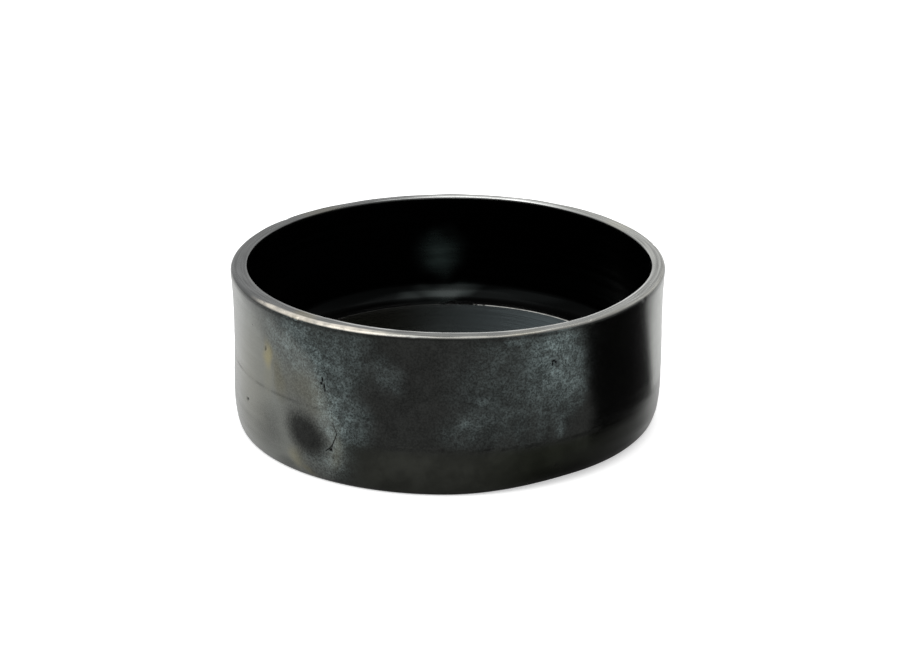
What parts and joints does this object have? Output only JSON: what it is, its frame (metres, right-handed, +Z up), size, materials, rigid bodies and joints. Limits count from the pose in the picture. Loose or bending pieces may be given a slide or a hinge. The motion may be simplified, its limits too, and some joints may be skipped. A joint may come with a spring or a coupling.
{
  "type": "bowl",
  "caption": "Straight-walled black smoke-fired clay bowl with a flat lip, a rounded heel and a thick flat base.",
  "frame": {"origin": "centre of the flat face the bowl rests on", "axes": "+Z up the axis the bowl was turned about, out of its mouth"},
  "size_m": [0.1996, 0.1996, 0.0756],
  "materials": {
    "smoked_clay": "burnished"
  },
  "bodies": {
    "root": {"bowl": "smoked_clay"}
  },
  "joints": []
}
